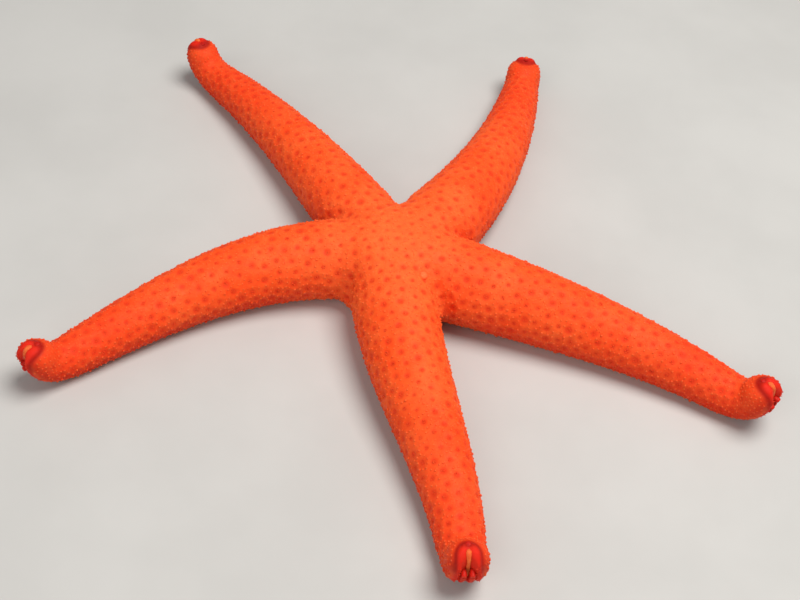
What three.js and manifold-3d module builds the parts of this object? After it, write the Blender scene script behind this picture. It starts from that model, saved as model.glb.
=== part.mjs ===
// A red sea star lying on a flat floor: a small disc, five round, tapering arms
// with blunt tips that curl up, the groove of the tube feet under each arm, the
// mouth where the grooves meet, and the sieve plate on the back.
//
// Millimetres and degrees, +Z up. The origin is on the floor, under the middle of
// the box that holds the whole animal. Each arm is parted into an inner length, an
// outer length and the curled tip, with a thin gap at each parting.
import * as THREE from "three";
import { mergeVertices } from "three/addons/utils/BufferGeometryUtils.js";
import Module from "manifold-3d";

const wasm = await Module();
wasm.setup();

// ---- Driving dimensions -------------------------------------------------------

// An arm's half width, from the middle of the disc to the tip. It narrows as
// (1 - u^TAPER_START)^TAPER_END, with u from 0 at the middle of the disc to 1.
const ROOT_RADIUS = 12.2;
const TIP_RADIUS = 5.2;
const TAPER_START = 1.5;
const TAPER_END = 1.3;

// The share of its width that an arm loses on the curl of its tip
const CURL_TAPER = 0.16;

// The arms are lettered as biologists letter them: the sieve plate lies between
// C and D, and A is opposite. An arm leaves the disc at its root angle, and its
// heading turns by sway * u + hook * u^2 on the way out. Its last stretch, curl
// long, bends up by rise.
const ARMS = [
  { letter: "a", root: 125.5, sway: -9, hook: 27.5, length: 111.5, girth: 0.96, curl: 15.5, rise: 92 },
  { letter: "b", root: 172, sway: 122, hook: -72, length: 107, girth: 0.96, curl: 15.5, rise: 102 },
  { letter: "c", root: 269, sway: 86.5, hook: -86, length: 102, girth: 1.01, curl: 15.5, rise: 124 },
  { letter: "d", root: 346, sway: 9.5, hook: -33.5, length: 109.2, girth: 1.02, curl: 16, rise: 113 },
  { letter: "e", root: 52, sway: 44, hook: -10, length: 104, girth: 1.03, curl: 12.5, rise: 86 },
];

// The section of an arm, in units of the arm's own radius: a round back over a
// flat sole, with the groove along the middle of the sole.
const AXIS_HEIGHT = 0.86;
const GROOVE_HALF_WIDTH = 0.2;
const GROOVE_TIP_HALF_WIDTH = 0.34;
const GROOVE_DEPTH = 0.36;
const GROOVE_SHOULDER = 0.72;
const BACK_STEPS = 18;

// Where the arms are parted, measured along the arm from the middle of the disc
const DISC_REACH = 25;
const PARTING_GAP = 0.3;

// The blunt end of an arm, as long as this many tip radii
const END_LENGTH = 0.9;
const END_STEPS = 4;

// Distance between two rings of an arm, on its long stretches and on its curl
const RING_SPACING = 5;
const CURL_RING_SPACING = 2.2;

// The disc: a low dome over a flat sole, between the roots of the arms
const DISC_RADIUS = 17;
const DISC_HEIGHT = 23;
const DISC_SOLE_RADIUS = 14.5;
const DISC_FULLNESS = 2.6;
const DISC_PROFILE_STEPS = 8;
const DISC_SIDES = 48;

// The mouth: a round hollow in the sole, closed by a soft membrane
const MOUTH_RADIUS = 4.6;
const MOUTH_DEPTH = 5.2;
const MOUTH_SIDES = 20;
const MEMBRANE_LOW = 2.6;
const MEMBRANE_THICKNESS = 1.6;
const MEMBRANE_DIMPLE = 0.9;

// The sieve plate: a small round button let into the back of the disc
const SIEVE_ANGLE = 302;
const SIEVE_FROM_CENTRE = 14.5;
const SIEVE_RADIUS = 1.15;
const SIEVE_THICKNESS = 1.2;
const SIEVE_CENTRE_HEIGHT = 19.4;
const SIEVE_SLOPE = 23;
const SIEVE_SIDES = 20;
const SIEVE_STEPS = 6;

// ---- Materials ----------------------------------------------------------------

function material(colour, roughness) {
  return new THREE.MeshStandardMaterial({ color: colour, roughness, metalness: 0 });
}

const skinMaterial = () => material(0xf2501e, 0.55);
const tipMaterial = () => material(0xe23c18, 0.5);
const membraneMaterial = () => material(0xc8502e, 0.45);
const sieveMaterial = () => material(0xf49a68, 0.7);

// ---- The course and the width of an arm ---------------------------------------

// The direction of an arm at a distance along it
function headingAt(arm, distance) {
  const u = distance / arm.length;
  return THREE.MathUtils.degToRad(arm.root + arm.sway * u + arm.hook * u * u);
}

// How far into the curl of the tip a distance lies: 0 where it starts, 1 at the end
function intoCurl(arm, distance) {
  return THREE.MathUtils.clamp((distance - (arm.length - arm.curl)) / arm.curl, 0, 1);
}

function pitchAt(arm, distance) {
  return THREE.MathUtils.degToRad(arm.rise * intoCurl(arm, distance));
}

function tangentAt(arm, distance) {
  const heading = headingAt(arm, distance);
  const pitch = pitchAt(arm, distance);
  const level = Math.cos(pitch);
  return new THREE.Vector3(Math.cos(heading) * level, Math.sin(heading) * level, Math.sin(pitch));
}

function radiusAt(arm, distance) {
  const u = THREE.MathUtils.clamp(distance / arm.length, 0, 1);
  const taper = (1 - u ** TAPER_START) ** TAPER_END;
  const onCurl = 1 - CURL_TAPER * intoCurl(arm, distance);
  return arm.girth * onCurl * (TIP_RADIUS + (ROOT_RADIUS - TIP_RADIUS) * taper);
}

// How much of the full radius is left in the blunt end
function bluntness(arm, distance) {
  const endLength = END_LENGTH * radiusAt(arm, arm.length);
  const intoEnd = THREE.MathUtils.clamp(1 - (arm.length - distance) / endLength, 0, 1);
  return Math.sqrt(1 - intoEnd * intoEnd);
}

// The point of the axis at a distance along the arm, stepping out from the disc.
// The axis keeps its height over the floor as the arm narrows, up to the curl.
function axisPoint(arm, distance) {
  const steps = Math.max(1, Math.ceil(distance * 4));
  const step = distance / steps;
  const point = new THREE.Vector3();
  for (let i = 0; i < steps; i++) {
    point.addScaledVector(tangentAt(arm, (i + 0.5) * step), step);
  }
  const level = Math.min(distance, arm.length - arm.curl);
  point.z += AXIS_HEIGHT * radiusAt(arm, level);
  return point;
}

// ---- Sections -----------------------------------------------------------------

// The round back, from one edge of the flat sole over the top to the other
function backOutline() {
  const edge = Math.asin(AXIS_HEIGHT);
  const outline = [];
  for (let i = 0; i <= BACK_STEPS; i++) {
    const angle = -edge + ((Math.PI + 2 * edge) * i) / BACK_STEPS;
    outline.push(new THREE.Vector2(Math.cos(angle), Math.sin(angle)));
  }
  return outline;
}

// The roof of the groove, from its left edge to its right edge. The groove is
// narrow under the arm, gapes on the curled tip and runs out at the blunt end.
function grooveOutline(arm, distance) {
  const opening = intoCurl({ ...arm, curl: 2 * arm.curl }, distance);
  const halfWidth = THREE.MathUtils.lerp(GROOVE_HALF_WIDTH, GROOVE_TIP_HALF_WIDTH, opening);
  const shoulder = GROOVE_SHOULDER * halfWidth;
  const sole = -AXIS_HEIGHT;
  const depth = GROOVE_DEPTH * bluntness(arm, distance) ** 2;
  return [
    new THREE.Vector2(-halfWidth, sole),
    new THREE.Vector2(-shoulder, sole + 0.8 * depth),
    new THREE.Vector2(0, sole + depth),
    new THREE.Vector2(shoulder, sole + 0.8 * depth),
    new THREE.Vector2(halfWidth, sole),
  ];
}

const plainSection = () => backOutline();

const groovedSection = (arm, distance) => [...backOutline(), ...grooveOutline(arm, distance)];

// What the groove takes out of the disc: the groove, and a little below the sole
function grooveCutSection(arm, distance) {
  const roof = grooveOutline(arm, distance).reverse();
  const below = new THREE.Vector2(0, -0.1);
  return [...roof, roof[roof.length - 1].clone().add(below), roof[0].clone().add(below)];
}

// ---- Sweeping a section along an arm ------------------------------------------

// Puts a section's outline round the axis at a distance along the arm
function ringAt(arm, distance, section) {
  const centre = axisPoint(arm, distance);
  const heading = headingAt(arm, distance);
  const lateral = new THREE.Vector3(-Math.sin(heading), Math.cos(heading), 0);
  const up = new THREE.Vector3().crossVectors(tangentAt(arm, distance), lateral);
  const radius = radiusAt(arm, distance) * bluntness(arm, distance);
  return section(arm, distance).map((corner) =>
    centre
      .clone()
      .addScaledVector(lateral, corner.x * radius)
      .addScaledVector(up, corner.y * radius),
  );
}

// A closed solid through rings at the given distances. With pointed set, its far
// end is closed by one point on the axis instead of a flat face.
function sweep(arm, distances, section, pointed = false) {
  const rings = distances.map((distance) => ringAt(arm, distance, section));
  const count = rings[0].length;
  const points = rings.flat();
  const faces = [];
  for (let r = 0; r + 1 < rings.length; r++) {
    for (let i = 0; i < count; i++) {
      const here = r * count + i;
      const beside = r * count + ((i + 1) % count);
      faces.push([here, beside, beside + count]);
      faces.push([here, beside + count, here + count]);
    }
  }
  const flatEnd = THREE.ShapeUtils.triangulateShape(section(arm, distances[0]), []);
  for (const [a, b, c] of flatEnd) {
    faces.push([a, c, b]);
  }
  const last = (rings.length - 1) * count;
  if (pointed) {
    points.push(axisPoint(arm, arm.length));
    for (let i = 0; i < count; i++) {
      faces.push([last + i, last + ((i + 1) % count), points.length - 1]);
    }
  } else {
    for (const [a, b, c] of flatEnd) {
      faces.push([last + a, last + b, last + c]);
    }
  }
  const geometry = new THREE.BufferGeometry().setFromPoints(points);
  geometry.setIndex(faces.flat());
  return geometry;
}

// Evenly spaced distances from one end of a length to the other
function spacedDistances(from, to, spacing) {
  const steps = Math.max(1, Math.round((to - from) / spacing));
  return Array.from({ length: steps + 1 }, (_, i) => from + ((to - from) * i) / steps);
}

// Rings of the curled tip: even along the curl, then closing round the blunt end
function tipDistances(arm, from) {
  const endLength = END_LENGTH * radiusAt(arm, arm.length);
  const endStart = arm.length - endLength;
  const distances = spacedDistances(from, endStart, CURL_RING_SPACING);
  for (let i = 1; i < END_STEPS; i++) {
    distances.push(endStart + endLength * Math.sin((Math.PI / 2) * (i / END_STEPS)));
  }
  return distances;
}

// ---- Joining and cutting ------------------------------------------------------

function toSolid(geometry) {
  const bare = geometry.clone();
  bare.deleteAttribute("normal");
  bare.deleteAttribute("uv");
  const merged = mergeVertices(bare, 1e-4);
  const mesh = new wasm.Mesh({
    numProp: 3,
    vertProperties: Float32Array.from(merged.attributes.position.array),
    triVerts: Uint32Array.from(merged.index.array),
  });
  return new wasm.Manifold(mesh);
}

function toGeometry(solid) {
  const { vertProperties, triVerts } = solid.getMesh();
  const geometry = new THREE.BufferGeometry();
  geometry.setAttribute("position", new THREE.BufferAttribute(vertProperties, 3));
  geometry.setIndex(new THREE.BufferAttribute(triVerts, 1));
  return geometry;
}

// A solid of revolution about +Z, from [radius, height] pairs that start and end
// on the axis
function turned(profile, sides) {
  const points = profile.map(([radius, height]) => new THREE.Vector2(radius, height));
  return new THREE.LatheGeometry(points, sides).rotateX(Math.PI / 2);
}

// ---- The disc -----------------------------------------------------------------

function discDome() {
  const axisHeight = AXIS_HEIGHT * ROOT_RADIUS;
  const profile = [[0, 0], [DISC_SOLE_RADIUS, 0], [DISC_RADIUS, axisHeight / 2]];
  for (let i = 0; i <= DISC_PROFILE_STEPS; i++) {
    const angle = (Math.PI / 2) * (i / DISC_PROFILE_STEPS);
    const radius = i < DISC_PROFILE_STEPS ? DISC_RADIUS * Math.cos(angle) ** (2 / DISC_FULLNESS) : 0;
    const height = (DISC_HEIGHT - axisHeight) * Math.sin(angle) ** (2 / DISC_FULLNESS);
    profile.push([radius, axisHeight + height]);
  }
  return turned(profile, DISC_SIDES);
}

function mouthHollow() {
  const rim = MOUTH_RADIUS + 1.2;
  const profile = [[0, -1], [rim, -1], [rim, 0], [MOUTH_RADIUS, 1.2], [MOUTH_RADIUS, MOUTH_DEPTH], [0, MOUTH_DEPTH]];
  return turned(profile, MOUTH_SIDES);
}

// A button with a domed top and bottom, set square to the slope of the back
function sieveButton(clearance) {
  const radius = SIEVE_RADIUS + clearance;
  const halfThickness = SIEVE_THICKNESS / 2 + clearance;
  const profile = [];
  for (let i = 0; i <= SIEVE_STEPS; i++) {
    const angle = Math.PI * (i / SIEVE_STEPS - 0.5);
    const onAxis = i === 0 || i === SIEVE_STEPS;
    profile.push([onAxis ? 0 : radius * Math.cos(angle) ** 0.6, halfThickness * Math.sin(angle)]);
  }
  const outward = THREE.MathUtils.degToRad(SIEVE_ANGLE);
  return turned(profile, SIEVE_SIDES)
    .rotateY(THREE.MathUtils.degToRad(SIEVE_SLOPE))
    .rotateZ(outward)
    .translate(
      SIEVE_FROM_CENTRE * Math.cos(outward),
      SIEVE_FROM_CENTRE * Math.sin(outward),
      SIEVE_CENTRE_HEIGHT,
    );
}

function discGeometry() {
  let disc = toSolid(discDome());
  for (const arm of ARMS) {
    disc = disc.add(toSolid(sweep(arm, spacedDistances(0, DISC_REACH, RING_SPACING), plainSection)));
  }
  for (const arm of ARMS) {
    const cut = sweep(arm, spacedDistances(0, DISC_REACH + 1, RING_SPACING), grooveCutSection);
    disc = disc.subtract(toSolid(cut));
  }
  disc = disc.subtract(toSolid(mouthHollow()));
  disc = disc.subtract(toSolid(sieveButton(PARTING_GAP)));
  return toGeometry(disc);
}

// The membrane round the mouth's opening, a shallow dish facing the floor
function membraneGeometry() {
  const radius = MOUTH_RADIUS - PARTING_GAP;
  const top = MEMBRANE_LOW + MEMBRANE_THICKNESS;
  const profile = [
    [0, MEMBRANE_LOW + MEMBRANE_DIMPLE],
    [radius * 0.35, MEMBRANE_LOW + MEMBRANE_DIMPLE / 2],
    [radius * 0.75, MEMBRANE_LOW],
    [radius, MEMBRANE_LOW + MEMBRANE_THICKNESS / 3],
    [radius, top],
    [0, top],
  ];
  return turned(profile, MOUTH_SIDES);
}

// ---- The animal ---------------------------------------------------------------

const starfish = new THREE.Group();

function addNode(name, geometry, nodeMaterial) {
  const mesh = new THREE.Mesh(geometry, nodeMaterial);
  mesh.name = name;
  starfish.add(mesh);
}

function addArm(arm) {
  const curlStart = arm.length - arm.curl;
  const middle = (DISC_REACH + curlStart) / 2;
  const inner = spacedDistances(DISC_REACH + PARTING_GAP, middle, RING_SPACING);
  const outer = spacedDistances(middle + PARTING_GAP, curlStart, RING_SPACING);
  const tip = tipDistances(arm, curlStart + PARTING_GAP);
  addNode(`arm_${arm.letter}_inner`, sweep(arm, inner, groovedSection), skinMaterial());
  addNode(`arm_${arm.letter}_outer`, sweep(arm, outer, groovedSection), skinMaterial());
  addNode(`arm_${arm.letter}_tip`, sweep(arm, tip, groovedSection, true), tipMaterial());
}

addNode("disc", discGeometry(), skinMaterial());
addNode("mouth_membrane", membraneGeometry(), membraneMaterial());
addNode("sieve_plate", sieveButton(0), sieveMaterial());
for (const arm of ARMS) {
  addArm(arm);
}

// The origin goes under the middle of the whole animal
const box = new THREE.Box3().setFromObject(starfish);
starfish.position.set(-(box.min.x + box.max.x) / 2, -(box.min.y + box.max.y) / 2, -box.min.z);

export default starfish;
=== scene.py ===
"""A red sea star at life size, lying on a pale floor.

One pitted skin replaces the packed solids of the disc and the arms. What stands on it, the
sieve plate and the mouth's membrane are meshes of their own. Metres, +Z up, in the frame of
the packed model.
"""
from itertools import product
from math import atan2, cos, exp, inf, pi, radians, sin, sqrt
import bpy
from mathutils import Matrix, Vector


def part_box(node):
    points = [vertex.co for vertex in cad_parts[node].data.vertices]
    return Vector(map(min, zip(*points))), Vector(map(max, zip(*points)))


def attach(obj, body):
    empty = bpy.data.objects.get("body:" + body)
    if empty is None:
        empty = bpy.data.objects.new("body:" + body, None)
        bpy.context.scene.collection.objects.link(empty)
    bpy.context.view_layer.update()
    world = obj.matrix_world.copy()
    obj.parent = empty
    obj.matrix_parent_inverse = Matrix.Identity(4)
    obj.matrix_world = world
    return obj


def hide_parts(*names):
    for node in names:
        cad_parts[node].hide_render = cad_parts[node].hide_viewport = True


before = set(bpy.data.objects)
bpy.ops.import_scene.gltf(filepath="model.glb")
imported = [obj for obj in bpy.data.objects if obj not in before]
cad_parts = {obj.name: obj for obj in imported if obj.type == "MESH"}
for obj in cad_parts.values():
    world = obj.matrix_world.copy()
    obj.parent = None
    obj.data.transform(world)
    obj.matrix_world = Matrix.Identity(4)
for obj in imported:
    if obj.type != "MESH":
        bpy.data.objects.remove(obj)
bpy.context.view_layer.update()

from types import SimpleNamespace as Fields

import bmesh
import bpy
import numpy as np
from mathutils import Matrix, Vector, bvhtree, kdtree
from numpy.linalg import norm

# ---- Sizes ----

MM = 0.001
DEGREE = radians(1)
random = np.random.default_rng(20)

ARM_LETTERS = "abcde"
ARM_PARTS = ("inner", "outer", "tip")
FLESH = ["disc"] + [f"arm_{letter}_{part}" for letter in ARM_LETTERS for part in ARM_PARTS]

# The solids reach to the tips of the spinelets, and the skin lies this far inside them
COAT_DEPTH = 0.35 * MM
# The solids are swelled by this before they are joined, to close their partings
SWELLING = 0.25 * MM
VOXEL = 0.88 * MM
# On the bare tips the skin fills the solids: how far it is moved out there all round, how
# far on the blunt ends that point back, and the last stretch over which an arm turns back
TIP_FULLNESS = 0.60 * MM
END_FULLNESS = 0.80 * MM
CURL = 17 * MM
# Nothing lies lower over the floor
LOWEST = 0.02 * MM
# The creases between the arms deepen between two distances from the middle of the disc
CREASE_DEPTH = 1.7 * MM
CREASE_WIDTH = 1.7 * MM
CREASE_FROM = 12 * MM
CREASE_TO = 21 * MM

# The steps that an arm's axis is traced with and kept at
TRACE_STEP = 1.0 * MM
AXIS_STEP = 0.5 * MM
LONGEST_ARM = 140 * MM

# The skin's pits, with the knots between them. They fade towards the tips, and stop short
# of the sole at an angle from the middle of the groove.
BACK_PIT_SPACING = 3.6 * MM
FLANK_PIT_SPACING = 2.6 * MM
PIT_HALF_WIDTH = 0.92 * MM
PIT_DEPTH = 0.30 * MM
KNOT_HEIGHT = 0.12 * MM
TIP_FADE = 17 * MM
PITS_FROM = 40 * DEGREE

# The groove under an arm, in shares of the arm's radius, and where it starts to widen
SOLE_BELOW_AXIS = 0.86
GROOVE_HALF_WIDTH = 0.20
GROOVE_END_HALF_WIDTH = 0.34
GROOVE_DEPTH = 0.36
GROOVE_OPENING = 32 * MM
# The red face of a curled tip, in shares of the arm's radius, and its lobes and furrows
FACE_HALF_WIDTH = 0.76
FACE_BELOW_AXIS = 0.2
FACE_HEIGHT = 0.92
FACE_LOBE = 0.22 * MM
FACE_FURROW = 0.13 * MM
# The turns, in degrees, of the middle line up over the face, seen from inside the tip
FACE_LINE = range(-58, 15, 6)
# How far from an arm's end its underside turns red and its tube feet grow stout
RED_END = 15 * MM

# Small pieces, each as a half width and a height, and how deep they are sunk in the skin
SPINELET = (0.27 * MM, 0.33 * MM)
SPINELET_GAP = 0.95 * MM
PAPULA = (0.24 * MM, 0.26 * MM)
GROOVE_SPINE = (0.26 * MM, 1.25 * MM)
GROOVE_SPINE_GAP = 1.0 * MM
EYE_CUSHION = (0.8 * MM, 0.4 * MM)
SUNK = 0.12 * MM
# Where the spines and tube feet of a groove start, from the middle of the disc
GROOVE_FROM = 8 * MM
# Spines of one corner of the mouth: the turn from the corner's middle, and how far out
MOUTH_SPINE_WIDTH = 0.42 * MM
MOUTH_SPINE_PLACES = [
    (-0.24, 6.0 * MM), (-0.08, 5.7 * MM), (0.08, 5.7 * MM), (0.24, 6.0 * MM),
    (-0.14, 7.2 * MM), (0.14, 7.2 * MM),
]

# The tube feet that face the floor have suckers, and those of the curled tips are drawn in
# to stout knobs. A start below zero counts from the arm's end, as every stop does. Beyond is
# how far they reach past the sole. Widths and heights are ranges, and bend is a spread.
SHORTEST_REACH = 0.8 * MM
TUBE_FEET = {
    "tube_feet": Fields(
        start=GROOVE_FROM, stop=RED_END, gap=1.9 * MM, half_width=0.50 * MM, beyond=0,
        longest=inf, widths=(0.88, 1.08), heights=(0.86, 1.0), bend=0.16, sides=9,
        rings=[(0.95, 0), (0.8, 0.25), (0.72, 0.5), (0.68, 0.72), (0.98, 0.86), (0.98, 0.95),
               (0.6, 1.0), (0, 0.96)],
    ),
    "tip_tube_feet": Fields(
        start=-RED_END + 0.6 * MM, stop=4.2 * MM, gap=1.2 * MM, half_width=0.74 * MM,
        beyond=0.8 * MM, longest=3.2 * MM, widths=(0.85, 1.1), heights=(0.8, 1.05), bend=0.15,
        sides=12,
        rings=[(0.9, 0), (0.94, 0.35), (1.04, 0.62), (1.0, 0.8), (0.8, 0.93), (0.42, 0.97),
               (0, 0.9)],
    ),
}

# Unwrap of the skin: a chart for each arm, in two columns and three rows. The scale is in
# unit squares for each metre of skin, and a patch is the place of one small piece.
CHART_SCALE = 4.15
CHART_COLUMN = 0.5
CHART_ROW = 1 / 3
CHART_MARGIN = 0.008
PATCH = 0.003


# ---- Small tools ----

def unit(vectors):
    return vectors / np.maximum(norm(vectors, axis=-1, keepdims=True), 1e-12)


def dots(first, second):
    """The dot product of each row of one array with the same row of another"""
    return np.einsum("ij,ij->i", first, second)


def columns(rows):
    """Each column of a list of rows as an array"""
    return [np.array(column) for column in zip(*rows)]


def rise(low, high, value):
    """0 below low, 1 above high and smooth between"""
    t = np.clip((value - low) / (high - low), 0, 1)
    return t * t * (3 - 2 * t)


def fade(low, high, value):
    """1 below low, 0 above high and smooth between"""
    return 1 - rise(low, high, value)


def read(items, name, width, kind=np.float64):
    """A property of every mesh element as an array"""
    values = np.empty(len(items) * width, dtype=kind)
    items.foreach_get(name, values)
    return values.reshape(-1, width)


def points_of(mesh):
    return read(mesh.vertices, "co", 3)


def normals_of(mesh):
    return read(mesh.vertex_normals, "vector", 3)


def edges_of(mesh):
    return read(mesh.edges, "vertices", 2, np.int64)


def set_points(mesh, points):
    mesh.vertices.foreach_set("co", points.astype(np.float32).ravel())
    mesh.update()


def add_attribute(mesh, name, values):
    """Keeps one number for each vertex, for a material to read"""
    attribute = mesh.attributes.new(name, "FLOAT", "POINT")
    attribute.data.foreach_set("value", values.astype(np.float32))


def add_uv_map(mesh, places):
    """Keeps a place on the unwrap for each corner of each face"""
    layer = mesh.uv_layers.new(name="OFBake")
    layer.data.foreach_set("uv", places.astype(np.float32).ravel())


def new_object(name, mesh):
    made = bpy.data.objects.new(name, mesh)
    bpy.context.scene.collection.objects.link(made)
    return made


def apply_modifier(made, kind, **settings):
    """Runs one modifier and keeps its result as the object's mesh"""
    modifier = made.modifiers.new(kind.title(), kind)
    for key, value in settings.items():
        setattr(modifier, key, value)
    graph = bpy.context.evaluated_depsgraph_get()
    result = bpy.data.meshes.new_from_object(made.evaluated_get(graph))
    made.modifiers.clear()
    made.data = result


def mesh_object(name, points, faces):
    mesh = bpy.data.meshes.new(name)
    mesh.from_pydata(np.array(points).tolist(), [], faces, shade_flat=False)
    return new_object(name, mesh)


def welded(mesh, distance):
    """A mesh's shape with its doubled corners joined and its faces turned outward"""
    shape = bmesh.new()
    shape.from_mesh(mesh)
    bmesh.ops.remove_doubles(shape, verts=shape.verts, dist=distance)
    bmesh.ops.recalc_face_normals(shape, faces=shape.faces)
    return shape


def neighbour_mean(points, edges, counts):
    total = np.zeros_like(points)
    for axis, (here, there) in product(range(3), (edges.T, edges.T[::-1])):
        total[:, axis] += np.bincount(here, points[there, axis], len(points))
    return total / counts[:, None]


def relax(points, edges, rounds, weight=1.0, keep_volume=True):
    """Smooths a mesh. Keeping the volume, each smoothing step is followed by a swelling one."""
    counts = np.maximum(np.bincount(edges.ravel(), minlength=len(points)), 1)
    weight = np.broadcast_to(weight, len(points))[:, None]
    for _ in range(rounds):
        for step in (0.5, -0.52) if keep_volume else (0.5,):
            points = points + step * weight * (neighbour_mean(points, edges, counts) - points)
    return points


def smoothed(line, rounds):
    """A line smoothed between its ends"""
    for _ in range(rounds):
        line[1:-1] = (line[:-2] + 2 * line[1:-1] + line[2:]) / 4
    return line


# ---- The axes of the arms, traced through the packed solids ----

CENTRE = np.append(np.mean(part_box("mouth_membrane"), axis=0)[:2], 0.0)


def cut_circle(points, edges, centre, tangent, lateral, radius):
    """Centre and radius of the round back where the plane across an arm cuts it"""
    side = (points - centre) @ tangent
    start, end = edges[side[edges[:, 0]] * side[edges[:, 1]] < 0].T
    share = side[start] / (side[start] - side[end])
    hits = points[start] + (points[end] - points[start]) * share[:, None] - centre
    up = np.cross(tangent, lateral)
    x, y = hits @ lateral, hits @ up
    distance = np.hypot(x, y)
    near = (distance < 1.5 * radius) & (distance > 0.75 * radius) & (y > -0.5 * radius)
    for slack in (0.15, 0.04):
        if near.sum() < 10:
            return None
        # The circle that fits the hits best
        table = np.column_stack([2 * x[near], 2 * y[near], np.ones(near.sum())])
        fitted = np.linalg.lstsq(table, x[near] * x[near] + y[near] * y[near], rcond=None)[0]
        across, above, rest = fitted
        size = sqrt(max(rest + across**2 + above**2, 0.0))
        off = np.abs(np.hypot(x - across, y - above) - size)
        near &= off < slack * radius
    if near.sum() < 10 or abs(size - radius) > 0.3 * radius:
        return None
    return centre + across * lateral + above * up, size


def trace(letter):
    """Steps out along one arm: the points of its axis, its radii, and its end"""
    meshes = [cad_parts[f"arm_{letter}_{part}"].data for part in ARM_PARTS]
    starts = np.cumsum([0] + [len(mesh.vertices) for mesh in meshes])
    points = np.concatenate([points_of(mesh) for mesh in meshes])
    edges = np.concatenate([edges_of(mesh) + start for mesh, start in zip(meshes, starts)])
    root = points_of(meshes[0]) - CENTRE
    reach = norm(root[:, :2], axis=1).min()
    tangent = unit(np.append(root[:, :2].mean(axis=0), 0.0))
    lateral = np.array([-tangent[1], tangent[0], 0.0])
    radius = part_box("disc")[1][2] / 2
    place = CENTRE + tangent * (reach + 4 * TRACE_STEP) + np.array([0, 0, radius])
    axis, radii, misses = [], [], 0
    while misses < 4 and len(axis) < LONGEST_ARM / TRACE_STEP:
        found = cut_circle(points, edges, place, tangent, lateral, radius)
        if found is None:
            misses += 1
            place = place + tangent * TRACE_STEP / 2
            continue
        if axis and found[1] < 0.86 * np.mean(radii[-4:]):
            break
        misses = 0
        place, radius = found
        axis.append(place)
        radii.append(radius)
        if len(axis) >= 7:
            # The way the arm runs on, with the bend of its last few points
            last, before = unit(axis[-1] - axis[-4]), unit(axis[-4] - axis[-7])
            tangent = unit(last + 0.6 * (last - before))
        lateral = unit(lateral - tangent * (lateral @ tangent))
        place = place + tangent * TRACE_STEP
    ahead = (points - axis[-1]) @ tangent
    near = norm(points - axis[-1], axis=1) < 2 * radii[-1]
    end = axis[-1] + tangent * ahead[near].max()
    return np.array(axis), np.array(radii), end


def resample(points, radii):
    """The same line with evenly spaced points"""
    along = np.append(0, np.cumsum(norm(np.diff(points, axis=0), axis=1)))
    even = np.linspace(0, along[-1], int(round(along[-1] / AXIS_STEP)) + 1)
    line = np.column_stack([np.interp(even, along, points[:, i]) for i in range(3)])
    return smoothed(line, 30), np.interp(even, along, radii), even


def full_axis(letter):
    """One arm's axis from the middle of the disc to the arm's end, with its frames"""
    traced, radii, end = trace(letter)
    start = np.array([CENTRE[0], CENTRE[1], traced[0, 2]])
    bend = traced[0] - unit(traced[1] - traced[0]) * norm(traced[0] - start) / 2
    t = np.linspace(0, 1, 24, endpoint=False)[:, None]
    inside = start * (1 - t) ** 2 + bend * 2 * t * (1 - t) + traced[0] * t**2
    slope = (radii[0] - radii[8]) / 8 / TRACE_STEP
    from_root = norm(traced[0] - inside, axis=1)
    points = np.concatenate([inside, traced, [end]])
    widths = np.concatenate([radii[0] + slope * from_root, radii, radii[-1:]])
    line, radius, along = resample(points, widths)
    tangent = unit(np.gradient(line, axis=0))
    lateral = np.empty_like(line)
    lateral[0] = unit(np.cross([0, 0, 1.0], tangent[0]))
    for i in range(1, len(line)):
        lateral[i] = unit(lateral[i - 1] - tangent[i] * (lateral[i - 1] @ tangent[i]))
    up = np.cross(tangent, lateral)
    return Fields(point=line, tangent=tangent, lateral=lateral, up=up, radius=radius, along=along)


ARMS = [full_axis(letter) for letter in ARM_LETTERS]
ARM_LENGTHS = np.array([arm.along[-1] for arm in ARMS])
AXIS = Fields(**{key: np.concatenate([vars(arm)[key] for arm in ARMS]) for key in vars(ARMS[0])})
AXIS.arm = np.repeat(np.arange(len(ARMS)), [len(arm.along) for arm in ARMS])


def turn_of(angle):
    """The angle measured from the groove's middle, from 0 to a whole turn"""
    return np.mod(angle + pi / 2, 2 * pi)


def tree_of(points):
    tree = kdtree.KDTree(len(points))
    for i, point in enumerate(points):
        tree.insert(point, i)
    tree.balance()
    return tree


AXIS_TREE = tree_of(AXIS.point)
ARM_TREES = [tree_of(arm.point) for arm in ARMS]


def nearest_steps(points):
    """The step of the arms' axes that is nearest to each point"""
    return np.array([AXIS_TREE.find(point)[1] for point in points])


def from_axis(points, steps):
    """How far points lie from steps of the axes: along the arm, up, and to its left"""
    offset = points - AXIS.point[steps]
    return [dots(offset, way[steps]) for way in (AXIS.tangent, AXIS.up, AXIS.lateral)]


def locate(points):
    """For each point: its arm, how far along it lies and from its end, and the angle round it.

    The angle is 0 to the arm's left, a quarter turn at its back and minus a quarter turn at
    its groove. Across and upward are in units of the arm's radius there.
    """
    steps = nearest_steps(points)
    onward, upward, across = from_axis(points, steps)
    arm, radius = AXIS.arm[steps], AXIS.radius[steps]
    along = AXIS.along[steps] + onward
    return Fields(
        step=steps, arm=arm, along=along, left=ARM_LENGTHS[arm] - along, radius=radius,
        angle=np.arctan2(upward, across), across=across / radius, upward=upward / radius,
    )


def step_at(arm, distance):
    """The step of an arm's axis at a distance along it"""
    return min(int(round(distance / AXIS_STEP)), len(arm.along) - 1)


# ---- The skin ----

def joined_flesh():
    """All solids of flesh as one object, each grown a little to meet its neighbours"""
    joined = bmesh.new()
    part = bpy.data.meshes.new("part")
    for name in FLESH:
        shape = welded(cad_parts[name].data, 1e-6)
        shape.normal_update()
        for vertex in shape.verts:
            vertex.co += vertex.normal * SWELLING
        shape.to_mesh(part)
        joined.from_mesh(part)
    bpy.data.meshes.remove(part)
    mesh = bpy.data.meshes.new("skin")
    joined.to_mesh(mesh)
    return new_object("skin", mesh)


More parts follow.
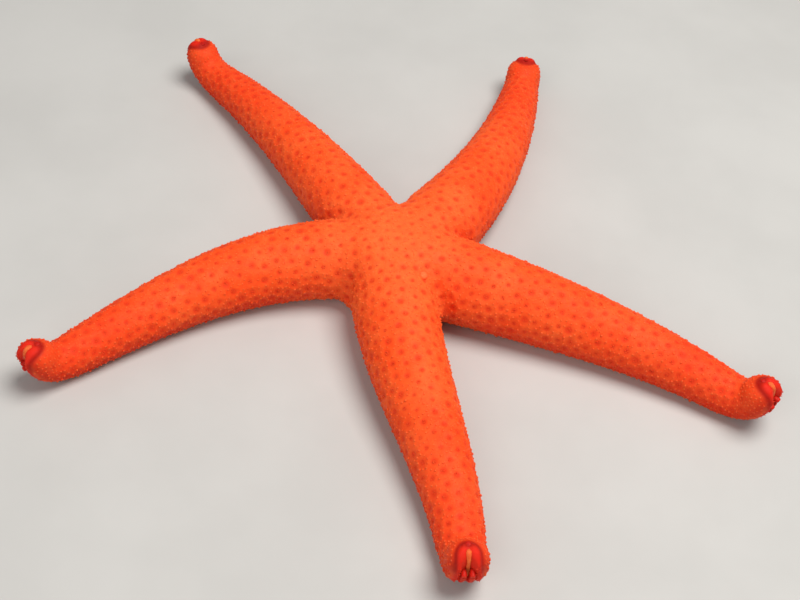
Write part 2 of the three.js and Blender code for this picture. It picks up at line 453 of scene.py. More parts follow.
def crease_depths(points, normals):
    """How deep the crease between two arms is at each point"""
    from_centre = norm(points[:, :2] - CENTRE[:2], axis=1)
    depths = CREASE_DEPTH * rise(CREASE_FROM, CREASE_TO, from_centre)
    depths *= rise(-0.3, 0.2, normals[:, 2])
    for i in np.flatnonzero((depths > 0) & (from_centre < 1.6 * CREASE_TO)):
        nearest, second = sorted(tree.find(points[i])[2] for tree in ARM_TREES)[:2]
        depths[i] *= exp(-(((second - nearest) / CREASE_WIDTH) ** 2))
    depths[from_centre >= 1.6 * CREASE_TO] = 0
    return depths


def tip_fullness(points, normals):
    """How far the skin is moved out on the tips, with the groove left open"""
    place = locate(points)
    left = place.left
    ends = np.array([arm.tangent[-1] for arm in ARMS])
    level = np.array([arm.tangent[step_at(arm, arm.along[-1] - CURL)] for arm in ARMS])
    curled_back = np.clip(-3 * dots(ends, level), 0, 1)[place.arm]
    ahead = np.maximum(dots(normals, ends[place.arm]), 0)
    under = fade(-0.6, 0.1, place.upward)
    fullness = fade((5 + 2 * under) * MM, (9 + 7 * under) * MM, left)
    fullness *= TIP_FULLNESS * (1 - ahead * (1 - curled_back))
    fullness += END_FULLNESS * ahead * curled_back * fade(4 * MM, 8 * MM, left)
    beside_groove = rise(0.32, 0.56, np.abs(place.across))
    return fullness * np.maximum(beside_groove, rise(-0.6, -0.3, place.upward))


def smooth_body(mesh):
    """Rounds off the facets, and blends the arms into the disc across its back"""
    edges = edges_of(mesh)
    points = relax(points_of(mesh), edges, 10)
    from_centre = norm(points[:, :2] - CENTRE[:2], axis=1)
    on_back = rise(0.35, 0.75, normals_of(mesh)[:, 2])
    blend = on_back * fade(13 * MM, 24 * MM, from_centre)
    points = relax(points, edges, 20, weight=blend, keep_volume=False)
    points = relax(points, edges, 4)
    set_points(mesh, points)
    normals = normals_of(mesh)
    sunk = SWELLING + COAT_DEPTH - tip_fullness(points, normals)
    sunk += crease_depths(points, normals)
    set_points(mesh, points - normals * sunk[:, None])


def pit_spacing(points):
    """The distance between pits: wide over the back, closer on the flanks and the tips"""
    marks = marks_at(points)
    flank = fade(78 * DEGREE, 122 * DEGREE, marks.below)
    taper = 0.72 + 0.28 * rise(0, 45 * MM, marks.left)
    return (BACK_PIT_SPACING + (FLANK_PIT_SPACING - BACK_PIT_SPACING) * flank) * taper


def thinned(points, gaps):
    """Which points are kept when those too close to an earlier one are dropped"""
    tree = tree_of(points)
    kept = np.ones(len(points), dtype=bool)
    for i, (point, gap) in enumerate(zip(points, np.broadcast_to(gaps, len(points)))):
        if kept[i]:
            for _, other, _ in tree.find_range(point, gap):
                if other > i:
                    kept[other] = False
    return kept


def spread(points, surface, rounds):
    """Pushes neighbouring points apart over the skin until they are evenly spaced"""
    for _ in range(rounds):
        tree = tree_of(points)
        reach = 1.25 * pit_spacing(points)
        moved = points.copy()
        for i, point in enumerate(points):
            for other, j, distance in tree.find_range(point, reach[i]):
                if j != i:
                    push = 0.14 * (reach[i] - distance) / max(distance, 1e-6)
                    moved[i] += (point - np.array(other)) * push
        points = np.array([surface.find_nearest(point)[0] for point in moved])
    return points


def surface_of(mesh):
    faces = [polygon.vertices[:] for polygon in mesh.polygons]
    return bvhtree.BVHTree.FromPolygons(points_of(mesh).tolist(), faces)


def pit_centres(mesh):
    """Where the pits lie: scattered, then pushed apart"""
    seeds = random.permutation(points_of(mesh))
    seeds = seeds[marks_at(seeds).below > PITS_FROM]
    seeds = seeds[thinned(seeds, 0.78 * pit_spacing(seeds))]
    return spread(seeds, surface_of(mesh), 5)


def marks_at(points):
    """What the colours need to know about a place on the animal"""
    place = locate(points)
    left = place.left
    from_centre = norm(points[:, :2] - CENTRE[:2], axis=1)
    # 0 along the middle of the groove, and half a turn along the middle of the back
    below = np.abs(turn_of(place.angle + pi) - pi)
    curled = fade(0.7 * RED_END, RED_END, left)
    under = fade(36 * DEGREE, 54 * DEGREE, below)
    on_end = fade(3.2 * MM, 6.0 * MM, left)
    up_face = np.maximum(place.upward + FACE_BELOW_AXIS, 0)
    face = np.hypot(place.across / FACE_HALF_WIDTH, up_face / FACE_HEIGHT)
    # The lower flanks turn deeper red: partly their own colour, partly painted shade of the sides
    # turned away from the light, with less of it near the disc
    low_side = fade(58 * DEGREE, 104 * DEGREE, below)
    rim = np.exp(-(((face - 0.93) / 0.17) ** 2))
    top = rise(0.12, 0.5, place.upward) * fade(0.95, 1.2, face)
    return Fields(
        **vars(place), from_centre=from_centre, below=below, on_end=on_end, face=face,
        tip_red=np.maximum(curled * under, on_end * fade(0.86, 1.12, face)),
        tip_dark=on_end * np.maximum(rim, top),
        sole=fade(34 * DEGREE, 62 * DEGREE, below),
        flank=low_side * (0.15 + 0.85 * rise(18 * MM, 38 * MM, from_centre)),
        groove=fade(9 * DEGREE, 20 * DEGREE, below),
        middle=fade(5 * MM, 32 * MM, from_centre),
        outer=rise(40 * MM, 92 * MM, from_centre),
    )


COLOUR_MARKS = ("tip_red", "tip_dark", "sole", "flank", "groove", "middle", "outer")


def relief_marks(points, marks, centres, sizes, depths):
    """The pits, and the ridges and knots between them"""
    tree = tree_of(centres)
    hits = [tree.find_n(point, 3) for point in points]
    nearest = np.array([hit[0][1] for hit in hits])
    first, second, third = np.array([[near[2] for near in hit] for hit in hits]).T
    tip = fade(3 * MM, TIP_FADE, marks.left)
    calm = (1 - 0.8 * tip) * (0.7 + 0.3 * rise(4 * MM, 16 * MM, marks.from_centre))
    calm = calm * rise(34 * DEGREE, 44 * DEGREE, marks.below)
    hollow = np.exp(-((first / sizes[nearest] / PIT_HALF_WIDTH) ** 2))
    marks.calm = calm
    marks.pit = hollow * calm * depths[nearest]
    marks.knot = fade(0.15 * MM, 0.8 * MM, third - first) * calm
    marks.ridge = fade(0.1 * MM, 0.55 * MM, second - first) * calm


def face_relief(marks):
    """The two lobes on the red face of a curled tip, with furrows between and round them"""
    across = np.abs(marks.across)
    lobes = rise(0.08, 0.26, across) * fade(0.6, 0.95, marks.face)
    middle = fade(0.06, 0.18, across) * fade(0.75, 0.95, marks.face)
    furrow = np.maximum(middle, np.exp(-(((marks.face - 0.98) / 0.13) ** 2)))
    return (FACE_LOBE * lobes - FACE_FURROW * furrow) * marks.on_end


def chart_place(arm, along, turn, radius):
    """A place on the unwrap of the skin, from the turn past the groove's middle"""
    column, row = np.divmod(arm, 3)
    u = CHART_MARGIN + column * CHART_COLUMN + along * CHART_SCALE
    v = (row + 0.5) * CHART_ROW + (turn - pi) * radius * CHART_SCALE
    return np.column_stack([u, v])


def unwrap_skin(mesh):
    """Lays each face out on the chart of the arm that its middle lies on"""
    corners = read(mesh.loops, "vertex_index", 1, np.int64)[:, 0]
    sizes = read(mesh.polygons, "loop_total", 1, np.int64)[:, 0]
    middles = vars(locate(read(mesh.polygons, "center", 3)))
    middle = Fields(**{key: np.repeat(values, sizes) for key, values in middles.items()})
    onward, upward, across = from_axis(points_of(mesh)[corners], middle.step)
    along = np.maximum(AXIS.along[middle.step] + onward, 0)
    turn = turn_of(middle.angle)
    swing = turn_of(np.arctan2(upward, across)) - turn
    turn = turn + np.mod(swing + pi, 2 * pi) - pi
    add_uv_map(mesh, chart_place(middle.arm, along, turn, middle.radius))


def make_skin():
    """The skin with its pits, and what is known about each of its vertices"""
    skin = joined_flesh()
    apply_modifier(skin, "REMESH", mode="VOXEL", voxel_size=VOXEL)
    smooth_body(skin.data)
    centres = pit_centres(skin.data)
    sizes = random.uniform(0.72, 1.22, len(centres))
    depths = random.uniform(0.55, 1.0, len(centres))
    apply_modifier(skin, "SUBSURF", levels=1, render_levels=1)
    mesh = skin.data
    points, normals = points_of(mesh), normals_of(mesh)
    marks = marks_at(points)
    relief_marks(points, marks, centres, sizes, depths)
    relief = KNOT_HEIGHT * marks.knot - PIT_DEPTH * marks.pit + face_relief(marks)
    points = points + normals * relief[:, None]
    points[:, 2] = np.maximum(points[:, 2], LOWEST)
    set_points(mesh, points)
    for name in COLOUR_MARKS + ("pit",):
        add_attribute(mesh, name, vars(marks)[name])
    mesh.shade_smooth()
    unwrap_skin(mesh)
    marks.point, marks.normal = points, normals
    return skin, centres, marks


# ---- Small pieces on the skin ----

def circle(sides):
    """The turns of a ring's corners"""
    return [2 * pi * k / sides for k in range(sides)]


def ring_quads(rings, sides, start=0):
    """The corners of each face between neighbouring rings of corners"""
    quads = []
    for low in range(start, start + rings * sides, sides):
        for k in range(sides):
            here, beside = low + k, low + (k + 1) % sides
            quads.append((here, beside, beside + sides, here + sides))
    return quads


def peg(sides, rings):
    """A round peg as corners, triangles and a place on its patch for each corner.

    Each ring is a radius and a height. The foot is closed flat, and the end by one corner.
    """
    corners, patch = [], []
    for level, (radius, height) in enumerate(rings[:-1]):
        for k, turn in enumerate(circle(sides)):
            corners.append((radius * cos(turn), radius * sin(turn), height))
            patch.append((k / (sides - 1), level / (len(rings) - 1)))
    corners.append((0.0, 0.0, rings[-1][1]))
    patch.append((0.5, 1.0))
    end = len(corners) - 1
    faces = [(0, k + 1, k) for k in range(1, sides - 1)]
    for a, b, c, d in ring_quads(len(rings) - 2, sides):
        faces += [(a, b, c), (a, c, d)]
    faces += [(a, b, end) for a, b, _, _ in ring_quads(1, sides, end - sides)]
    return np.array(corners), np.array(faces), np.array(patch)


def crossed(out, along):
    """Two directions at right angles to the outward one, the first nearest to along"""
    first = unit(along - out * dots(along, out)[:, None])
    return first, np.cross(out, first)


def planted(name, shape, roots, out, lean, widths, heights, bend=0.0):
    """One mesh of many pegs, standing out from their roots and bent the way they lean"""
    corners, faces, patch = shape
    first, second = crossed(out, lean)
    x, y, z = corners.T
    wide, high, bent = widths[:, None], heights[:, None], (bend * heights)[:, None]
    points = (roots - out * SUNK)[:, None]
    for move, way in (wide * x, first), (wide * y, second), (high * z, out), (bent * z * z, first):
        points = points + move[..., None] * way[:, None]
    points = points.reshape(-1, 3)
    points[:, 2] = np.maximum(points[:, 2], LOWEST)
    starts = len(corners) * np.arange(len(roots))
    every = (faces[None] + starts[:, None, None]).reshape(-1, 3)
    made = mesh_object(name, points, every.tolist())
    marks = marks_at(roots)
    places = chart_place(marks.arm, marks.along, turn_of(marks.angle), marks.radius)
    places = places[:, None] + PATCH * (patch[None] - 0.5)
    add_uv_map(made.data, places.reshape(-1, 2)[every.ravel()])
    for mark in COLOUR_MARKS:
        add_attribute(made.data, mark, np.repeat(vars(marks)[mark], len(corners)))
    add_attribute(made.data, "lift", np.tile(z, len(roots)))
    add_attribute(made.data, "tone", np.repeat(random.random(len(roots)), len(corners)))
    return made


def make_spinelets(marks):
    """Short blunt spines along the ridges, in two pieces"""
    below, points = marks.below, marks.point
    on_ridge = (marks.ridge > 0.5) & (below > 33 * DEGREE)
    on_tip = (marks.calm < 0.5) & (below > 60 * DEGREE) & (marks.left < TIP_FADE)
    clear = 1.2 * (GROOVE_HALF_WIDTH + GROOVE_END_HALF_WIDTH) / 2 + 1.6 * MM / marks.radius
    on_sole = (below < 50 * DEGREE) & (np.abs(marks.across) > clear)
    on_sole &= marks.from_centre > 12 * MM
    bare = np.maximum(marks.tip_red, marks.tip_dark) > 0.2
    candidates = random.permutation(np.flatnonzero((on_ridge | on_tip | on_sole) & ~bare))
    gaps = SPINELET_GAP * (1 + 0.35 * on_sole[candidates])
    chosen = candidates[thinned(points[candidates], gaps)]
    shape = peg(5, [(1.25, 0), (1.05, 0.45), (0.66, 0.85), (0, 1)])
    for name, arms in (("spinelets_abc", (0, 1, 2)), ("spinelets_de", (3, 4))):
        own = chosen[np.isin(marks.arm[chosen], arms)]
        low = fade(50 * DEGREE, 110 * DEGREE, below[own])
        size = random.uniform(0.8, 1.15, len(own)) * (1 + 0.2 * low)
        out = unit(marks.normal[own] + random.normal(0, 0.12, (len(own), 3)))
        lean = AXIS.tangent[nearest_steps(points[own])]
        yield planted(name, shape, points[own], out, lean, *np.outer(SPINELET, size), 0.15)


def make_papulae(centres, marks):
    """Bunches of low fingers in the pits"""
    tree = tree_of(marks.point)
    rows = []
    for centre in centres:
        spot = tree.find(centre)[1]
        point, normal, calm = marks.point[spot], marks.normal[spot], marks.calm[spot]
        if calm < 0.35:
            continue
        side, cross = crossed(normal[None], (point - CENTRE)[None])
        count = random.integers(3, 6)
        around = random.uniform(0, 2 * pi)
        for k in range(count):
            angle = around + 2 * pi * k / count
            step = side[0] * cos(angle) + cross[0] * sin(angle)
            root = point + step * random.uniform(0.25, 0.5) * MM
            beside = tree.find(root)[1]
            slope = marks.normal[beside]
            root = root + slope * ((marks.point[beside] - root) @ slope)
            size = random.uniform(0.75, 1.2) * (0.6 + 0.4 * calm)
            rows.append((root, unit(normal + 0.25 * step), size))
    roots, out, size = columns(rows)
    shape, lean = peg(5, [(1.1, 0), (0.9, 0.6), (0, 1)]), AXIS.tangent[nearest_steps(roots)]
    return planted("papulae", shape, roots, out, lean, *np.outer(PAPULA, size))


def groove_half_width(arm, i):
    """Half the groove's width at one step of an arm's axis"""
    left = arm.along[-1] - arm.along[i]
    opening = 1 - min(left / GROOVE_OPENING, 1)
    share = GROOVE_HALF_WIDTH + (GROOVE_END_HALF_WIDTH - GROOVE_HALF_WIDTH) * opening
    return share * arm.radius[i]


def sole_point(arm, i, across, below_axis):
    """A point under an arm, from its place across and its depth below the axis"""
    return arm.point[i] + arm.lateral[i] * across - arm.up[i] * below_axis


def make_groove_spines(surface):
    """A double row of spines along each groove's edges, leaning over it"""
    rows = []
    for arm in ARMS:
        length = arm.along[-1]
        distance = GROOVE_FROM
        while distance < length - 2.2 * MM:
            i = step_at(arm, distance)
            drawn_in = fade(0.7 * RED_END, 1.2 * RED_END, length - distance)
            for side, row in product((-1, 1), (0, 1)):
                across = side * (groove_half_width(arm, i) + (0.35 + 0.85 * row) * MM)
                here = step_at(arm, distance + (0.5 * row + random.normal(0, 0.08)) * MM)
                guess = sole_point(arm, here, across, SOLE_BELOW_AXIS * arm.radius[here])
                place, normal, _, _ = surface.find_nearest(guess)
                inward = arm.lateral[here] * -side
                out = unit(np.array(normal) * (0.25 + 0.2 * row) + inward * (0.8 - 0.7 * row))
                size = random.uniform(0.85, 1.1) * (1 - 0.25 * row) * (1 - 0.5 * drawn_in)
                rows.append((place, out, arm.tangent[here], size))
            distance += GROOVE_SPINE_GAP * (0.7 + 0.3 * arm.radius[i] / arm.radius[0])
    *frames, size = columns(rows)
    shape = peg(6, [(0.9, 0), (1, 0.4), (0.7, 0.8), (0, 1)])
    return planted("groove_spines", shape, *frames, *np.outer(GROOVE_SPINE, size))


def make_feet(surface, name, kind):
    """Two rows of tube feet of one kind along a stretch of each groove"""
    width, gap = kind.half_width, kind.gap
    rows = []
    for arm in ARMS:
        length = arm.along[-1]
        distance = kind.start if kind.start > 0 else length + kind.start
        while distance < length - kind.stop:
            for side in (-1, 1):
                i = step_at(arm, distance + 0.25 * side * gap)
                radius = arm.radius[i]
                across = side * max(0.55 * groove_half_width(arm, i), 1.05 * width)
                below = (SOLE_BELOW_AXIS - 0.75 * GROOVE_DEPTH) * radius
                guess = sole_point(arm, i, across, below)
                place = np.array(surface.find_nearest(guess)[0])
                end = sole_point(arm, i, across * 1.1, SOLE_BELOW_AXIS * radius + kind.beyond)
                reach = norm(end - place)
                lean = arm.tangent[i] + arm.lateral[i] * random.normal(0, 0.5)
                rows.append((place, (end - place) / reach, lean, max(reach, SHORTEST_REACH)))
            distance += gap
    *frames, reach = columns(rows)
    widths = width * random.uniform(*kind.widths, len(reach))
    heights = np.minimum(reach, kind.longest) * random.uniform(*kind.heights, len(reach))
    bends = random.normal(0, kind.bend, len(reach))
    return planted(name, peg(kind.sides, kind.rings), *frames, widths, heights, bends)


def line_over_end(arm, surface):
    """The middle line up over an arm's blunt end: points, side directions and outward ones"""
    i = step_at(arm, arm.along[-1] - arm.radius[-1])
    turns = np.radians(FACE_LINE)
    outs = [arm.tangent[i] * cos(turn) + arm.up[i] * sin(turn) for turn in turns]
    hits = [surface.ray_cast(arm.point[i], out)[0] for out in outs]
    line = np.array(hits) + np.array(outs) * 0.12 * MM
    return line, np.repeat(arm.lateral[i][None], len(line), axis=0), np.array(outs)


def make_nerve_ridges(surface):
    """The pale ridge along each groove's roof, and over the face of the curled tip"""
    points, faces, sides = [], [], 10
    for arm in ARMS:
        length = arm.along[-1]
        steps = np.arange(step_at(arm, 7 * MM), step_at(arm, length - 5.5 * MM), 2)
        stout = fade(0.5 * RED_END, 1.2 * RED_END, length - arm.along[steps])
        below = (SOLE_BELOW_AXIS - (1 - 0.45 * stout) * GROOVE_DEPTH) * arm.radius[steps]
        roof = arm.point[steps] - arm.up[steps] * below[:, None]
        face = line_over_end(arm, surface)
        pairs = zip((roof, arm.lateral[steps], arm.up[steps]), face)
        line, across, ups = (np.concatenate(pair) for pair in pairs)
        stout = np.append(stout, np.ones(len(face[0])))
        width = (0.40 + 0.06 * stout) * MM
        width[-len(face[0]):] += 0.34 * MM * np.linspace(0, 1, len(face[0])) ** 1.5
        rounding = np.ones(len(line))
        rounding[:5] = (0.1, 0.35, 0.6, 0.8, 0.95)
        rounding[-3:] = (0.95, 0.75, 0.25)
        radii = np.column_stack([width, (0.36 + 0.14 * stout) * MM]) * rounding[:, None]
        start = len(points)
        for place, side, up, (wide, high) in zip(smoothed(line, 3), across, ups, radii):
            for turn in circle(sides):
                points.append(place + side * wide * cos(turn) + up * high * sin(turn))
        faces += ring_quads(len(line) - 1, sides, start)
        faces.append(tuple(reversed(range(start, start + sides))))
        faces.append(tuple(range(len(points) - sides, len(points))))
    return mesh_object("nerve_ridges", points, faces)


def make_eye_cushions(surface):
    """The small red cushion with the eye spots, at the top of each tip's face"""
    rows = []
    for arm in ARMS:
        line, sides, outward = line_over_end(arm, surface)
        guess = line[-1] + arm.up[-1] * 1.5 * MM
        rows.append((surface.find_nearest(guess)[0], outward[-1], sides[-1]))
    shape = peg(16, [(1, 0), (0.97, 0.35), (0.82, 0.68), (0.5, 0.92), (0.22, 0.99), (0, 1)])
    sizes = np.outer(EYE_CUSHION, np.ones(len(rows)))
    return planted("eye_cushions", shape, *columns(rows), *sizes)


def make_mouth_spines(surface):
    """Stout spines on the mouth's five corners, pointing in over it"""
    rows = []
    angles = sorted(atan2(arm.tangent[0][1], arm.tangent[0][0]) for arm in ARMS)
    for angle, following in zip(angles, angles[1:] + [angles[0] + 2 * pi]):
        for step, far in MOUTH_SPINE_PLACES:
            turn = (angle + following) / 2 + step
            aim = np.array([cos(turn), sin(turn), 0])
            root = surface.find_nearest(CENTRE + aim * far)[0]
            rows.append((root, unit(np.array([0, 0, -0.22]) - aim), (-aim[1], aim[0], 0)))
    shape = peg(8, [(0.9, 0), (1, 0.3), (0.8, 0.7), (0.45, 0.94), (0, 1)])
    widths = np.full(len(rows), MOUTH_SPINE_WIDTH)
    heights = random.uniform(1.9, 2.4, len(rows)) * MM
    return planted("mouth_spines", shape, *columns(rows), widths, heights)


# ---- Round plates: the sieve plate and the mouth's membrane ----

def round_plate(name, centre, axes, radius, height_at, thickness, rings=30, sides=120):
    """A round plate on a slope; height_at gives its relief from turn and share of radius"""
    across, along, out = axes
    points, shares = [], [ring / rings for ring in range(rings + 1)]
    for upper, share, turn in product((True, False), shares, circle(sides)):
        height = height_at(turn, share) if upper else -thickness * sqrt(1 - 0.9 * share)
        x, y = share * radius * cos(turn), share * radius * sin(turn)
        points.append(centre + across * x + along * y + out * height)
    faces, half = [], len(points) // 2
    for a, b, c, d in ring_quads(rings, sides):
        faces += [(a, d, c, b), (half + a, half + b, half + c, half + d)]
    faces += [(a, half + a, half + b, b) for a, b, _, _ in ring_quads(1, sides, rings * sides)]
    plate = mesh_object(name, points, faces)
    welded(plate.data, 1e-7).to_mesh(plate.data)
    return plate


def make_sieve_plate():
    """The sieve plate: a low button with meandering furrows that run out to its rim"""
    points = points_of(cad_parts["sieve_plate"].data)
    centre = (points.max(axis=0) + points.min(axis=0)) / 2
    # The directions in which the packed plate spreads, the thinnest one last
    across, _, out = np.linalg.svd(points - points.mean(axis=0), full_matrices=False)[2]
    if out[2] < 0:
        out = -out
    along = np.cross(out, across)
    radius = np.abs((points - centre) @ across).max()
    crown = np.abs((points - centre) @ out).max()
    waves = random.uniform(0, 2 * pi, 6)

    def height_at(turn, share):
        dome = 0.72 * crown * sqrt(max(1 - share**2.6, 0))
        warp = 0.5 * sin(3 * turn + waves[0] + 5 * share) + 0.4 * sin(5 * turn + waves[1])
        warp += 0.5 * sin(9 * share + waves[2] + 2 * turn)
        folds = 9 + (9 if share > 0.52 else 0)
        furrow = cos(folds * turn + 2.2 * warp)
        inner = cos(11 * share + 1.5 * sin(2 * turn + waves[3]))
        blend = rise(0.12, 0.3, share)
        cut = blend * furrow + (1 - blend) * inner
        rim = fade(0.84, 1.0, share)
        return dome + 0.07 * MM * cut * rim

    axes = across, along, out
    plate = round_plate("madreporite", centre, axes, radius, height_at, 0.5 * crown)
    offset = points_of(plate.data) - centre
    add_attribute(plate.data, "edge", np.hypot(offset @ across, offset @ along) / radius)
    return plate


def make_mouth_membrane():
    """The membrane round the mouth, drawn in pleats to the closed opening"""
    low, high = (np.array(corner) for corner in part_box("mouth_membrane"))
    centre = np.array([CENTRE[0], CENTRE[1], high[2]])
    radius = (high[0] - low[0]) / 2
    depth = high[2] - low[2]

    def height_at(turn, share):
        bowl = depth * (0.45 + 0.4 * share - 0.35 * share**4)
        pleats = cos(20 * turn + 0.6 * sin(3 * turn)) * rise(0.1, 0.5, share)
        pleats *= fade(0.8, 1.0, share)
        lips = exp(-(((share - 0.16) / 0.08) ** 2))
        return bowl + 0.16 * MM * pleats + 0.35 * MM * lips

    return round_plate("mouth_skin", centre, np.diag([1.0, -1, -1]), radius, height_at, 0.1 * MM)


# ---- Materials ----

def linear(*channels):
    """A colour that is given as it looks on a screen, 0 to 255, made linear"""
    shares = [channel / 255 for channel in channels]
    curved = [s / 12.92 if s <= 0.04045 else ((s + 0.055) / 1.055) ** 2.4 for s in shares]
    return (*curved, 1.0)


class Shader:
    """A few short calls for building one material's nodes"""

    def __init__(self, name):
        self.material = bpy.data.materials.new(name)
        self.material.use_nodes = True
        self.nodes = self.material.node_tree.nodes
        self.links = self.material.node_tree.links
        self.surface = self.nodes["Principled BSDF"]
        self.place = self.node("TexCoord", "Object", {})

    def link(self, value, socket):
        """Feeds a socket with a constant, another socket or a mark of the mesh, by its name"""
        if isinstance(value, str):
            value = self.node("Attribute", "Fac", {}, attribute_name=value)
        if isinstance(value, bpy.types.NodeSocket):
            self.links.new(value, socket)
        else:
            socket.default_value = value

    def node(self, kind, output, inputs, **settings):
        """Adds a node with its settings and inputs, and gives one of its outputs"""
        node = self.nodes.new("ShaderNode" + kind)
        for name, value in settings.items():
            setattr(node, name, value)
        for name, value in inputs.items():
            self.link(value, node.inputs[name])
        return node.outputs[output]

    def noise(self, size, detail=4):
        inputs = {"Vector": self.place, "Scale": 1 / size, "Detail": detail, "Roughness": 0.55}
        return self.node("TexNoise", "Fac", inputs)

    def ramp(self, value, low, high, start=0.0, end=1.0):
        inputs = {"Value": value, "From Min": low, "From Max": high, "To Min": start, "To Max": end}
        return self.node("MapRange", "Result", inputs, interpolation_type="SMOOTHSTEP")

    def times(self, first, second):
        return self.node("Math", 0, {0: first, 1: second}, operation="MULTIPLY")

    def mix(self, share, first, second):
        inputs = {"Factor": share, "A": first, "B": second}
        return self.node("Mix", "Result", inputs, data_type="RGBA")

    def bump(self, height, distance, strength, **below):
        inputs = {"Strength": strength, "Distance": distance, "Height": height, **below}
        return self.node("Bump", "Normal", inputs)

    def finish(self, colour, roughness, **sockets):
        for name, value in {"Base_Color": colour, "Roughness": roughness, **sockets}.items():
            self.link(value, self.surface.inputs[name.replace("_", " ")])
        return self.material


ORANGE = linear(248, 84, 27)
PALE_ORANGE = linear(254, 112, 50)
DEEP_ORANGE = linear(228, 52, 18)
# Deeper red of the lower flanks: partly their own colour, partly painted shade
FLANK_SHADE_RED = linear(206, 44, 16)
PIT_RED = linear(224, 50, 16)
SOLE_ORANGE = linear(240, 120, 66)
GROOVE_RED = linear(206, 58, 34)
TIP_RED = linear(216, 34, 16)
DEEP_RED = linear(158, 18, 6)
FOOT_RED = linear(196, 26, 16)
NERVE_PALE = linear(234, 110, 54)
SPINE_PALE = linear(255, 128, 68)
SUCKER_PALE = linear(226, 84, 48)
NERVE_DARK = linear(228, 92, 42)
CUSHION_RED = linear(190, 26, 14)
CUSHION_DARK = linear(172, 18, 10)
MOUTH_PALE = linear(214, 92, 58)
MOUTH_RED = linear(178, 44, 28)
SIEVE_PALE = linear(255, 138, 80)
SIEVE_ORANGE = linear(248, 104, 52)
SIEVE_FURROW = linear(232, 78, 30)
FLOOR_DARK = linear(186, 185, 182)
FLOOR_PALE = linear(192, 191, 188)


def flesh(shader, colour, roughness, normal, glow=0.35, reach=1.6 * MM):
    """Finishes a material of living tissue, with a little light passing under its surface.

    The roughness is one number, or the size of its grains and its ends.
    """
    if not isinstance(roughness, float):
        size, low, high = roughness
        roughness = shader.ramp(shader.noise(size), 0.3, 0.7, low, high)
    shader.surface.subsurface_method = "RANDOM_WALK"
    return shader.finish(
        colour, roughness, Normal=normal, Specular_IOR_Level=0.16, Subsurface_Weight=glow,
        Subsurface_Radius=(1.0, 0.32, 0.14), Subsurface_Scale=reach,
    )


def body_colour(shader):
    """The body wall's colour, the same on the skin and on all that stands on it"""
    colour = ORANGE
    for mark, strength, tint in (
        (shader.ramp(shader.noise(13 * MM), 0.36, 0.66), 0.5, PALE_ORANGE),
        ("middle", 0.55, PALE_ORANGE),
        ("outer", 0.5, DEEP_ORANGE),
        (shader.ramp(shader.noise(1.5 * MM), 0.3, 0.72), 0.3, DEEP_ORANGE),
        # The lower flanks: partly their own deeper red, partly painted shade
        ("flank", 0.75, FLANK_SHADE_RED),
        ("sole", 0.75, SOLE_ORANGE),
        ("groove", 1.0, GROOVE_RED),
        ("tip_red", 0.95, TIP_RED),
        ("tip_dark", 0.85, DEEP_RED),
    ):
        colour = shader.mix(shader.times(mark, strength), colour, tint)
    return colour


def skin_material():
    """The body's colour with darker pits, and a fine grain in the pores"""
    shader = Shader("skin_orange_red")
    pit = shader.ramp("pit", 0.05, 0.75)
    colour = shader.mix(shader.times(pit, 0.75), body_colour(shader), PIT_RED)
    cells = {"Vector": shader.place, "Scale": 1 / (0.42 * MM)}
    grain = shader.bump(shader.node("TexVoronoi", "Distance", cells), 0.05 * MM, 0.5)
    normal = shader.bump(shader.noise(0.25 * MM, 3), 0.04 * MM, 0.5, Normal=grain)
    return flesh(shader, colour, (0.9 * MM, 0.58, 0.74), normal)


def coat_material(name, tint, at_root, at_end):
    """A small piece's material: the body's colour, tinted more and more towards its end"""
    shader = Shader(name)
    rising = shader.ramp("lift", 0.2, 1.0, at_root, at_end)
    tone = shader.ramp("tone", 0.0, 1.0, 0.7, 1.0)
    tone = shader.times(tone, shader.ramp("tip_red", 0.0, 1.0, 1.0, 0.15))
    colour = shader.mix(shader.times(rising, tone), body_colour(shader), tint)
    speckle = shader.ramp(shader.noise(0.35 * MM, 3), 0.35, 0.7)
    colour = shader.mix(shader.times(speckle, 0.18), colour, DEEP_ORANGE)
    normal = shader.bump(shader.noise(0.2 * MM, 3), 0.03 * MM, 0.5)
    return flesh(shader, colour, (0.5 * MM, 0.5, 0.65), normal, 0.25, 1.0 * MM)


def tube_foot_material():
    """Red with darker rings, paler towards the suckers"""
    shader = Shader("tube_feet_red")
    rings = shader.ramp(shader.noise(0.4 * MM, 3), 0.35, 0.65)
    sucker = shader.ramp("lift", 0.8, 0.95, 0.0, 0.45)
    colour = shader.mix(sucker, shader.mix(rings, FOOT_RED, DEEP_RED), SUCKER_PALE)
    colour = shader.mix(shader.times("tip_red", 0.4), colour, TIP_RED)
    normal = shader.bump(shader.noise(0.3 * MM), 0.05 * MM, 0.6)
    return flesh(shader, colour, (0.6 * MM, 0.42, 0.56), normal)


def plain_flesh(name, light, dark, grain):
    """Two tints of one colour in grains of one size"""
    shader = Shader(name)
    colour = shader.mix(shader.ramp(shader.noise(grain), 0.35, 0.65), light, dark)
    normal = shader.bump(shader.noise(grain / 3, 3), 0.05 * MM, 0.6)
    return flesh(shader, colour, (2 * grain, 0.45, 0.6), normal)


def sieve_material():
    """Pale ridges over darker furrows, turning to the body's orange at the rim"""
    shader = Shader("sieve_plate_pale")
    ridge = shader.ramp(shader.node("NewGeometry", "Pointiness", {}), 0.46, 0.53)
    colour = shader.mix(ridge, SIEVE_FURROW, SIEVE_PALE)
    mottle = shader.ramp(shader.noise(0.8 * MM), 0.3, 0.7)
    colour = shader.mix(shader.times(mottle, 0.35), colour, SIEVE_ORANGE)
    rim = shader.ramp("edge", 0.5, 1.0, 0.0, 0.85)
    normal = shader.bump(shader.noise(0.2 * MM), 0.03 * MM, 0.6)
    return flesh(shader, shader.mix(rim, colour, ORANGE), 0.62, normal, 0.05)


# ---- The stage, the camera and the lights ----

